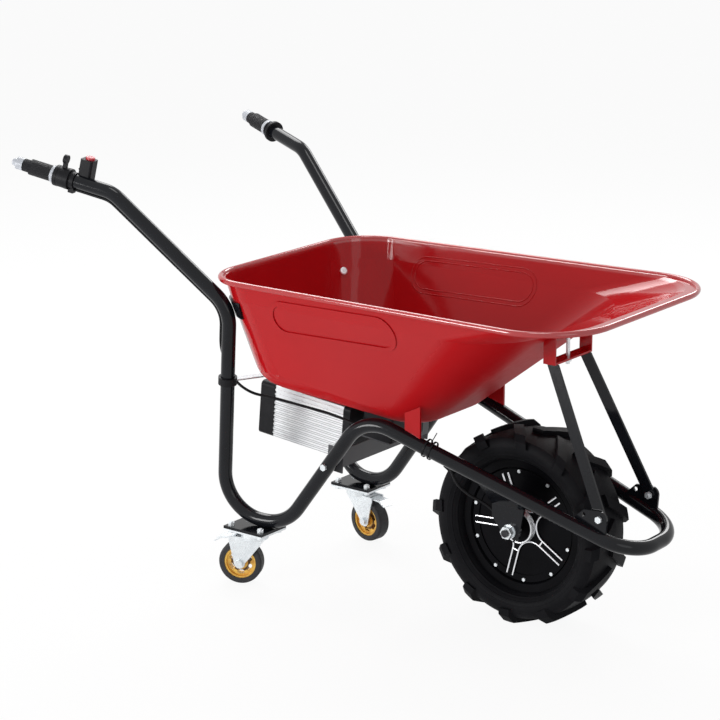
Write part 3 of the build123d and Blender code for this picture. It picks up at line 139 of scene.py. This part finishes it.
def place(tree, scale=(1, 1, 1), at=(0, 0, 0), turn=(0, 0, 0), inverse=False):
    """Object coordinates, scaled or moved into a local frame."""
    coordinates = tree.nodes.new("ShaderNodeTexCoord")
    mapping = tree.nodes.new("ShaderNodeMapping")
    mapping.vector_type = "TEXTURE" if inverse else "POINT"
    set_sockets(mapping, Location=at, Rotation=turn, Scale=scale)
    tree.links.new(coordinates.outputs["Object"], mapping.inputs["Vector"])
    return mapping.outputs["Vector"]


def noise(tree, size, detail=4.0, stretch=(1, 1, 1)):
    """Noise whose blotches are about this many metres across."""
    node = tree.nodes.new("ShaderNodeTexNoise")
    set_sockets(node, Scale=1.0, Detail=detail)
    tree.links.new(place(tree, [s / size for s in stretch]), node.inputs["Vector"])
    return node.outputs["Fac"]


def spread(tree, source, low, high, start=0.3, end=0.7):
    """The source's middle range stretched from low to high."""
    node = tree.nodes.new("ShaderNodeMapRange")
    for socket, value in zip(node.inputs[1:5], (start, end, low, high)):
        socket.default_value = value
    tree.links.new(source, node.inputs[0])
    return node.outputs[0]


def tint(tree, factor, first, second):
    """Mix of two colours; either may be a socket."""
    node = tree.nodes.new("ShaderNodeMix")
    node.data_type = "RGBA"
    tree.links.new(factor, node.inputs["Factor"])
    for socket, colour in ((node.inputs[6], first), (node.inputs[7], second)):
        if isinstance(colour, tuple):
            socket.default_value = (*colour, 1.0)
        else:
            tree.links.new(colour, socket)
    return node.outputs[2]


def bump(tree, height, depth, before=None):
    """Relief of this depth in metres."""
    node = tree.nodes.new("ShaderNodeBump")
    set_sockets(node, Strength=1.0, Distance=depth)
    tree.links.new(height, node.inputs["Height"])
    if before:
        tree.links.new(before, node.inputs["Normal"])
    return node.outputs["Normal"]


def surface(name, colours, roughness, patch, grain, relief, **fixed):
    """Colour drifts in patches; roughness and relief follow a finer grain."""
    material, tree, shader = new_material(name)
    drift = spread(tree, noise(tree, patch), 0.0, 1.0)
    fine = noise(tree, grain)
    tree.links.new(tint(tree, drift, *colours), shader.inputs["Base Color"])
    tree.links.new(spread(tree, fine, *roughness), shader.inputs["Roughness"])
    tree.links.new(bump(tree, fine, relief), shader.inputs["Normal"])
    set_sockets(shader, **fixed)
    return material


# Materials
def tray_enamel():
    """Glossy enamel, shinier on the rolled rim and duller on the faces turned to the ground."""
    material, tree, shader = new_material("tray_enamel")
    normal = tree.nodes.new("ShaderNodeSeparateXYZ")
    tree.links.new(tree.nodes.new("ShaderNodeNewGeometry").outputs["Normal"], normal.inputs[0])
    under = spread(tree, normal.outputs["Z"], 1.0, 0.0, *GROUND_FACING)
    drift = spread(tree, noise(tree, 0.35), 0.0, 1.0)
    fine = noise(tree, 0.012)
    colour = tint(tree, drift, (0.45, 0.007, 0.01), (0.39, 0.005, 0.008))
    tree.links.new(colour, shader.inputs["Base Color"])
    gloss = spread(tree, fine, 0.06, 0.12)
    dull = math_node(tree, "MULTIPLY", under, 0.4)
    tree.links.new(math_node(tree, "ADD", gloss, dull), shader.inputs["Roughness"])
    local = tree.nodes.new("ShaderNodeSeparateXYZ")
    tree.links.new(place(tree, at=(-RIM_REAR[0], 0.0, -RIM_REAR[1])), local.inputs[0])
    rise = math_node(tree, "MULTIPLY", local.outputs["X"], RIM_SLOPE)
    above = math_node(tree, "SUBTRACT", local.outputs["Z"], rise)
    rim = spread(tree, above, 0.0, 0.7, -2 * RIM_DEPTH, -RIM_DEPTH)
    shine = spread(tree, under, 0.2, 0.03, 0.0, 1.0)
    tree.links.new(math_node(tree, "ADD", shine, rim), shader.inputs["Specular IOR Level"])
    tree.links.new(bump(tree, fine, 0.00004), shader.inputs["Normal"])
    return material


def black_powder():
    return surface("black_powder", ((0.005, 0.0055, 0.0075), (0.008, 0.0088, 0.0115)), (0.08, 0.16), 0.12,
                   0.002, 0.00001, Specular_IOR_Level=0.23)


def zinc_plate():
    return surface("zinc_plate", ((0.84, 0.88, 0.9), (0.7, 0.74, 0.77)), (0.22, 0.4), 0.018, 0.0014,
                   0.00003, Metallic=0.55)


def plain_steel():
    return surface("plain_steel", ((0.52, 0.52, 0.54), (0.4, 0.4, 0.42)), (0.28, 0.45), 0.02, 0.0012,
                   0.00005, Metallic=1.0)


def bright_edge():
    return surface("bright_edge", ((0.86, 0.87, 0.89), (0.74, 0.75, 0.78)), (0.18, 0.32), 0.012, 0.0008,
                   0.00003, Metallic=1.0)


def motor_core():
    return surface("motor_core", ((0.2, 0.12, 0.06), (0.32, 0.15, 0.07)), (0.4, 0.6), 0.01, 0.002,
                   0.0002, Metallic=0.6)


def hub_black():
    return surface("hub_black", ((0.0025, 0.0025, 0.0032), (0.0045, 0.0045, 0.0058)), (0.25, 0.4), 0.05,
                   0.0012, 0.00003, Specular_IOR_Level=0.04)


def dark_steel():
    return surface("dark_steel", ((0.02, 0.02, 0.023), (0.05, 0.05, 0.054)), (0.3, 0.45), 0.006, 0.0012,
                   0.00005, Metallic=0.7)


def grey_powder():
    return surface("grey_powder", ((0.075, 0.076, 0.082), (0.06, 0.061, 0.066)), (0.3, 0.45), 0.1, 0.0012,
                   0.00003, Specular_IOR_Level=0.3)


def castor_gold(node):
    """Gold wheel centre with a darker ring about its axle, painted shade where its slots are."""
    material, tree, shader = new_material("castor_gold_" + node)
    low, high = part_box(node)
    centre = (Vector(low) + Vector(high)) / 2
    length = tree.nodes.new("ShaderNodeVectorMath")
    length.operation = "LENGTH"
    tree.links.new(place(tree, at=tuple(-centre)), length.inputs[0])
    distance = length.outputs["Value"]
    inner, outer = SLOT_SHADE_RING
    outside = spread(tree, distance, 0.0, 1.0, inner, inner + SLOT_SHADE_BLUR)
    inside = spread(tree, distance, 1.0, 0.0, outer - SLOT_SHADE_BLUR, outer)
    drift = spread(tree, noise(tree, 0.012), 0.0, 1.0)
    gold = tint(tree, drift, (0.85, 0.53, 0.1), (0.62, 0.32, 0.06))
    # Painted shade: the ring where the slots are is darkened to stand for their shaded insides
    colour = tint(tree, math_node(tree, "MULTIPLY", outside, inside), gold, (0.1, 0.045, 0.012))
    tree.links.new(colour, shader.inputs["Base Color"])
    tree.links.new(spread(tree, noise(tree, 0.0015), 0.25, 0.42), shader.inputs["Roughness"])
    set_sockets(shader, Metallic=0.5)
    return material


def castor_rubber():
    return surface("castor_rubber", ((0.03, 0.03, 0.032), (0.042, 0.042, 0.044)), (0.5, 0.7), 0.02, 0.001,
                   0.0001, Specular_IOR_Level=0.2)


def black_plastic():
    return surface("black_plastic", ((0.007, 0.007, 0.0085), (0.012, 0.012, 0.014)), (0.36, 0.52), 0.03,
                   0.0007, 0.00006, Specular_IOR_Level=0.12)


def light_plastic():
    return surface("light_plastic", ((0.5, 0.52, 0.56), (0.42, 0.44, 0.48)), (0.35, 0.5), 0.015, 0.0012,
                   0.00008)


def red_plastic():
    return surface("red_plastic", ((0.6, 0.04, 0.06), (0.5, 0.025, 0.04)), (0.2, 0.32), 0.008, 0.0008,
                   0.00003, Coat_Weight=0.4)


def cell_wrap():
    return surface("cell_wrap", ((0.03, 0.09, 0.3), (0.05, 0.13, 0.36)), (0.25, 0.4), 0.02, 0.004, 0.0002)


def lead_rubber():
    return surface("lead_rubber", ((0.006, 0.006, 0.007), (0.01, 0.01, 0.011)), (0.42, 0.6), 0.03, 0.0009,
                   0.00008, Specular_IOR_Level=0.14)


def case_aluminium():
    """Extrusion with brushing along its length, and fine grooves up to its shoulder drawn as lines of
    painted shade.
    """
    material, tree, shader = new_material("case_aluminium")
    local = tree.nodes.new("ShaderNodeSeparateXYZ")
    turn = (0.0, radians(BATTERY_TILT), 0.0)
    tree.links.new(place(tree, at=BATTERY_FOOT, turn=turn, inverse=True), local.inputs[0])
    height = local.outputs["Z"]
    wave = math_node(tree, "SINE", math_node(tree, "MULTIPLY", height, 2 * pi / GROOVE_SHADE_PITCH))
    below = spread(tree, height, 1.0, 0.0, GROOVE_SHADE_TOP, GROOVE_SHADE_TOP + GROOVE_SHADE_PITCH / 2)
    # Painted shade: darker lines where the grooves would hold shade, up to the shoulder
    groove_shade = math_node(tree, "MULTIPLY", spread(tree, wave, 0.0, 1.0, 0.55, 0.85), below)
    brushing = noise(tree, 0.0007, stretch=(0.02, 1, 1))
    metal = tint(tree, spread(tree, noise(tree, 0.06), 0.0, 1.0), (0.82, 0.83, 0.84), (0.72, 0.73, 0.75))
    tree.links.new(tint(tree, groove_shade, metal, (0.3, 0.31, 0.33)), shader.inputs["Base Color"])
    tree.links.new(spread(tree, brushing, 0.26, 0.42), shader.inputs["Roughness"])
    tree.links.new(bump(tree, brushing, 0.00003), shader.inputs["Normal"])
    set_sockets(shader, Metallic=0.6)
    return material


def lens_red():
    """Lens with a fine grid of prisms, each painted lighter in its middle and darker towards its edges as
    light and shade.
    """
    material, tree, shader = new_material("lens_red")
    prism_relief_and_shade = tree.nodes.new("ShaderNodeTexVoronoi")
    set_sockets(prism_relief_and_shade, Scale=1.0, Randomness=0.0)
    tree.links.new(place(tree, [1 / PRISM_PITCH] * 3), prism_relief_and_shade.inputs["Vector"])
    # Painted light and shade: each prism lighter at its middle and darker towards its edge
    colour = tint(tree, prism_relief_and_shade.outputs["Distance"], (0.5, 0.01, 0.015), (0.28, 0.004, 0.008))
    tree.links.new(colour, shader.inputs["Base Color"])
    tree.links.new(bump(tree, prism_relief_and_shade.outputs["Distance"], 0.0006), shader.inputs["Normal"])
    set_sockets(shader, Roughness=0.12, Coat_Weight=0.6)
    return material


def tyre_rubber():
    """Rubber with moulded rings on the side walls and a dusty drift."""
    material, tree, shader = new_material("tyre_rubber")
    local = tree.nodes.new("ShaderNodeSeparateXYZ")
    tree.links.new(place(tree, at=tuple(-AXLE)), local.inputs[0])
    x, z = local.outputs["X"], local.outputs["Z"]
    squares = [math_node(tree, "MULTIPLY", side, side) for side in (x, z)]
    radius = math_node(tree, "SQRT", math_node(tree, "ADD", *squares))
    wave = math_node(tree, "SINE", math_node(tree, "MULTIPLY", radius, 2 * pi / TYRE_RING_PITCH))
    on_wall = spread(tree, radius, 1.0, 0.0, *TYRE_RING_FADE)
    rings = math_node(tree, "MULTIPLY", spread(tree, wave, 0.0, 1.0, 0.55, 0.95), on_wall)
    fine = noise(tree, 0.0016)
    dust = spread(tree, noise(tree, 0.06, 6.0), 0.0, 1.0, 0.4, 0.75)
    colour = tint(tree, dust, (0.005, 0.005, 0.0062), (0.009, 0.009, 0.0105))
    tree.links.new(colour, shader.inputs["Base Color"])
    tree.links.new(spread(tree, fine, 0.45, 0.65), shader.inputs["Roughness"])
    set_sockets(shader, Specular_IOR_Level=0.06)
    relief = bump(tree, rings, 0.0008)
    tree.links.new(bump(tree, fine, 0.00015, relief), shader.inputs["Normal"])
    return material


def grip_frame(side):
    """Start point and turn of the frame whose Z runs along this grip."""
    mirrored = Vector((1, side, 1))
    start, tip = GRIP_BEND * mirrored, GRIP_TIP * mirrored
    return start, (tip - start).to_track_quat("Z", "Y").to_euler()


def grip_rubber(side):
    """Rubber with a crossed knurl round the grip, painted darker in the knurl's grooves and lighter on its
    ridges as shade and light.
    """
    material, tree, shader = new_material("grip_rubber_right" if side < 0 else "grip_rubber_left")
    start, turn = grip_frame(side)
    local = tree.nodes.new("ShaderNodeSeparateXYZ")
    tree.links.new(place(tree, at=start, turn=turn, inverse=True), local.inputs[0])
    angle = math_node(tree, "ARCTAN2", local.outputs["Y"], local.outputs["X"])
    around = math_node(tree, "MULTIPLY", angle, KNURLS / 2)
    lengthwise = math_node(tree, "MULTIPLY", local.outputs["Z"], pi / KNURL_PITCH)
    ridges = []
    for slant in ("ADD", "SUBTRACT"):
        wave = math_node(tree, "SINE", math_node(tree, slant, around, lengthwise))
        ridges.append(math_node(tree, "ABSOLUTE", wave))
    height = math_node(tree, "MINIMUM", *ridges)
    knurl_light_and_shade = spread(tree, height, 0.0, 1.0, 0.05, 0.5)
    # Painted shade and light: the knurl's grooves darker, its ridge tops lighter
    colour = tint(tree, knurl_light_and_shade, (0.006, 0.006, 0.007), (0.022, 0.022, 0.025))
    tree.links.new(colour, shader.inputs["Base Color"])
    tree.links.new(spread(tree, noise(tree, 0.01), 0.45, 0.65), shader.inputs["Roughness"])
    tree.links.new(bump(tree, height, 0.0009), shader.inputs["Normal"])
    set_sockets(shader, Specular_IOR_Level=0.18)
    return material


def dress_nodes():
    """Each solid takes the material of its slot in the record."""
    looks = {"tray_red": tray_enamel(), "black_frame": black_powder(), "zinc": zinc_plate(),
             "bar_steel": plain_steel(), "motor_core": motor_core(), "hub_black": hub_black(),
             "tyre_rubber": tyre_rubber(), "castor_rubber": castor_rubber(), "grip_light": light_plastic(),
             "black_plastic": black_plastic(), "button_red": red_plastic(), "lens_red": lens_red(),
             "case_aluminium": case_aluminium(), "cell_wrap": cell_wrap(), "lead_rubber": lead_rubber()}
    own = {"grip_right": grip_rubber(-1), "grip_left": grip_rubber(1), "axle": dark_steel(),
           "cross_plate": grey_powder()}
    for node in ("castor_core_right", "castor_core_left"):
        own[node] = castor_gold(node)
    for subpart in frame["record"]["subparts"]:
        node = frame["nodes"][subpart["node"]]
        material = own.get(subpart["node"]) or looks[subpart["material_slot"]]
        node.data.materials.clear()
        node.data.materials.append(material)
    return looks


# Thin lines, first those on the hub
def line_piece(name, runs, radius, material, body, closed=False):
    """Thin round lines along runs of points, as one piece."""
    curve = bpy.data.curves.new(name, "CURVE")
    curve.dimensions = "3D"
    curve.bevel_depth = radius
    curve.bevel_resolution = 2
    for run in runs:
        spline = curve.splines.new("POLY")
        spline.points.add(len(run) - 1)
        for point, at in zip(spline.points, run):
            point.co = (*at, 1.0)
        spline.use_cyclic_u = closed
    curve.materials.append(material)
    piece = bpy.data.objects.new(name, curve)
    bpy.context.scene.collection.objects.link(piece)
    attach(piece, body)
    return piece


def on_hub(radius, across, angle, side):
    """Point on the cover face, so far out along a spoke at this angle and so far across it."""
    turn = radians(angle)
    x = radius * cos(turn) - across * sin(turn)
    z = radius * sin(turn) + across * cos(turn)
    return AXLE + Vector((x, side * COVER_FACE, z))


def window_line(k, side):
    """U-shaped edge of the window between two spokes."""
    step = 360.0 / SPOKES
    first = SPOKE_ANGLE + step * k
    half = radians(step / 2)
    middle = (WINDOW_ROUND + SPOKE_HALF) / sin(half)
    run = [on_hub(LINE_OUT, SPOKE_HALF, first, side)]
    for j in range(ARC_STEPS + 1):
        turn = 180.0 - (90.0 - step / 2) + (180.0 - step) * j / ARC_STEPS
        out = WINDOW_ROUND * cos(radians(turn))
        across = WINDOW_ROUND * sin(radians(turn))
        run.append(on_hub(middle + out, -across, first + step / 2, side))
    run.append(on_hub(LINE_OUT, -SPOKE_HALF, first + step, side))
    return run


def spoke_end(k, side):
    """Short line that closes the inner end of a spoke."""
    radius = (WINDOW_ROUND + SPOKE_HALF) / tan(radians(180.0 / SPOKES))
    angle = SPOKE_ANGLE + 360.0 / SPOKES * k
    return [on_hub(radius, offset, angle, side) for offset in (-SPOKE_HALF, 0.0, SPOKE_HALF)]


def boss_ring(k, side):
    """Machined ring round the boss, the k-th from the cover outwards."""
    inner, outer = BOSS_FACES
    y = side * (inner + (outer - inner) * k / (BOSS_RINGS - 1))
    turns = [2 * pi * j / ROUND_POINTS for j in range(ROUND_POINTS)]
    return [AXLE + Vector((BOSS_R * cos(turn), y, BOSS_R * sin(turn))) for turn in turns]


def hub_lines(material):
    """Bright lines on both covers and rings round both bosses."""
    for side, name in ((-1, "right"), (1, "left")):
        runs = [window_line(k, side) for k in range(SPOKES)]
        runs += [spoke_end(k, side) for k in range(SPOKES)]
        line_piece("hub_lines_" + name, runs, LINE_R, material, "drive_wheel")
        rings = [boss_ring(k, side) for k in range(BOSS_RINGS)]
        line_piece("boss_rings_" + name, rings, LINE_R, material, "drive_wheel", closed=True)


# Inner side of the outline pressed into the tray's walls
def panel_edge(grow, side):
    """One edge of the outline, laid on the inner wall by rays from the middle plane."""
    middle = (PANEL_REAR + PANEL_FRONT) / 2
    ahead = (PANEL_FRONT - PANEL_REAR).normalized()
    up = Vector((-ahead.z, 0.0, ahead.x))
    straight = (PANEL_FRONT - PANEL_REAR).length / 2 - PANEL_HALF_H
    radius = PANEL_HALF_H + grow
    run = []
    for j in range(ROUND_POINTS):
        turn = 2 * pi * (j + 0.5) / ROUND_POINTS
        forward = radius * cos(turn) + (straight if cos(turn) > 0 else -straight)
        start = middle + ahead * forward + up * radius * sin(turn)
        run.append(frame["nodes"]["tray"].ray_cast(start, Vector((0.0, side, 0.0)))[1])
    return run


def panel_lines(material):
    """Both edges of the outline inside each wall."""
    for side, name in ((-1, "right"), (1, "left")):
        runs = [panel_edge(grow, side) for grow in PANEL_EDGES]
        line_piece("panel_lines_" + name, runs, PANEL_LINE_R, material, "frame", closed=True)


# Loose end of the tie on the rail
def tie_tail(material):
    """Straight tail that stands up from the tie."""
    run = [TIE_TOP, TIE_TOP + TIE_TAIL]
    line_piece("tie_tail", [run], TIE_TAIL_R, material, "frame")


# Studio
def area_light(name, at, size, power):
    """Round soft lamp that faces the object."""
    light = bpy.data.lights.new(name, "AREA")
    light.shape = "DISK"
    light.size = size
    light.energy = power
    lamp = bpy.data.objects.new(name, light)
    lamp.location = at
    lamp.rotation_euler = (LAMP_TARGET - Vector(at)).to_track_quat("-Z", "Y").to_euler()
    bpy.context.scene.collection.objects.link(lamp)


def along(tree, direction, way):
    """How far a direction points along this way."""
    node = tree.nodes.new("ShaderNodeVectorMath")
    node.operation = "DOT_PRODUCT"
    node.inputs[1].default_value = way
    tree.links.new(direction, node.inputs[0])
    return node.outputs["Value"]


def shown_rays(tree):
    """One for the rays that show the white background: seen, mirrored or through glass."""
    path = tree.nodes.new("ShaderNodeLightPath").outputs
    mirrored = math_node(tree, "MAXIMUM", path["Is Glossy Ray"], path["Is Transmission Ray"])
    return math_node(tree, "MAXIMUM", path["Is Camera Ray"], mirrored)


def surroundings():
    """White where it shows; as light, bright behind the object and dimmer elsewhere."""
    world = bpy.data.worlds.new("studio")
    world.use_nodes = True
    bpy.context.scene.world = world
    tree = world.node_tree
    background = tree.nodes["Background"]
    background.inputs["Color"].default_value = (1.0, 1.0, 1.0, 1.0)
    direction = tree.nodes.new("ShaderNodeTexCoord").outputs["Generated"]
    overhead = spread(tree, along(tree, direction, (0.0, 0.0, 1.0)), *SKY, 0.0, 0.7)
    behind = spread(tree, along(tree, direction, BACKDROP), 0.0, 1.0, 0.3, 0.85)
    level = math_node(tree, "MAXIMUM", overhead, behind)
    tree.links.new(math_node(tree, "MAXIMUM", level, shown_rays(tree)), background.inputs["Strength"])


def white_floor():
    """Pale floor that shows almost white and keeps a faint shadow."""
    bpy.ops.mesh.primitive_plane_add(size=FLOOR_SIZE)
    floor = bpy.context.object
    floor.name = "floor"
    material, tree, shader = new_material("floor_white")
    set_sockets(shader, Base_Color=(0.82, 0.82, 0.82, 1.0), Roughness=0.9)
    glow = tree.nodes.new("ShaderNodeEmission")
    set_sockets(glow, Strength=1.0)
    mix = tree.nodes.new("ShaderNodeMixShader")
    tree.links.new(math_node(tree, "MULTIPLY", shown_rays(tree), FLOOR_GLOW), mix.inputs[0])
    tree.links.new(shader.outputs[0], mix.inputs[1])
    tree.links.new(glow.outputs[0], mix.inputs[2])
    tree.links.new(mix.outputs[0], tree.nodes["Material Output"].inputs["Surface"])
    floor.data.materials.append(material)


def studio():
    """Surroundings, floor and lamps, shown in plain colours."""
    bpy.context.scene.view_settings.view_transform = "Standard"
    surroundings()
    white_floor()
    for name, (at, size, power) in LAMPS.items():
        area_light(name, at, size, power)


def photo_camera():
    """Camera at the photograph's place, angle and lens."""
    data = bpy.data.cameras.new("camera")
    data.sensor_width = 36.0
    data.lens = CAMERA_LENS
    camera = bpy.data.objects.new("camera", data)
    camera.location = CAMERA_AT
    camera.rotation_euler = (radians(90.0 - CAMERA_DOWN), 0.0, radians(CAMERA_YAW))
    bpy.context.scene.collection.objects.link(camera)
    bpy.context.scene.camera = camera


looks = dress_nodes()
hub_lines(bright_edge())
panel_lines(looks["tray_red"])
tie_tail(looks["black_plastic"])
studio()
photo_camera()
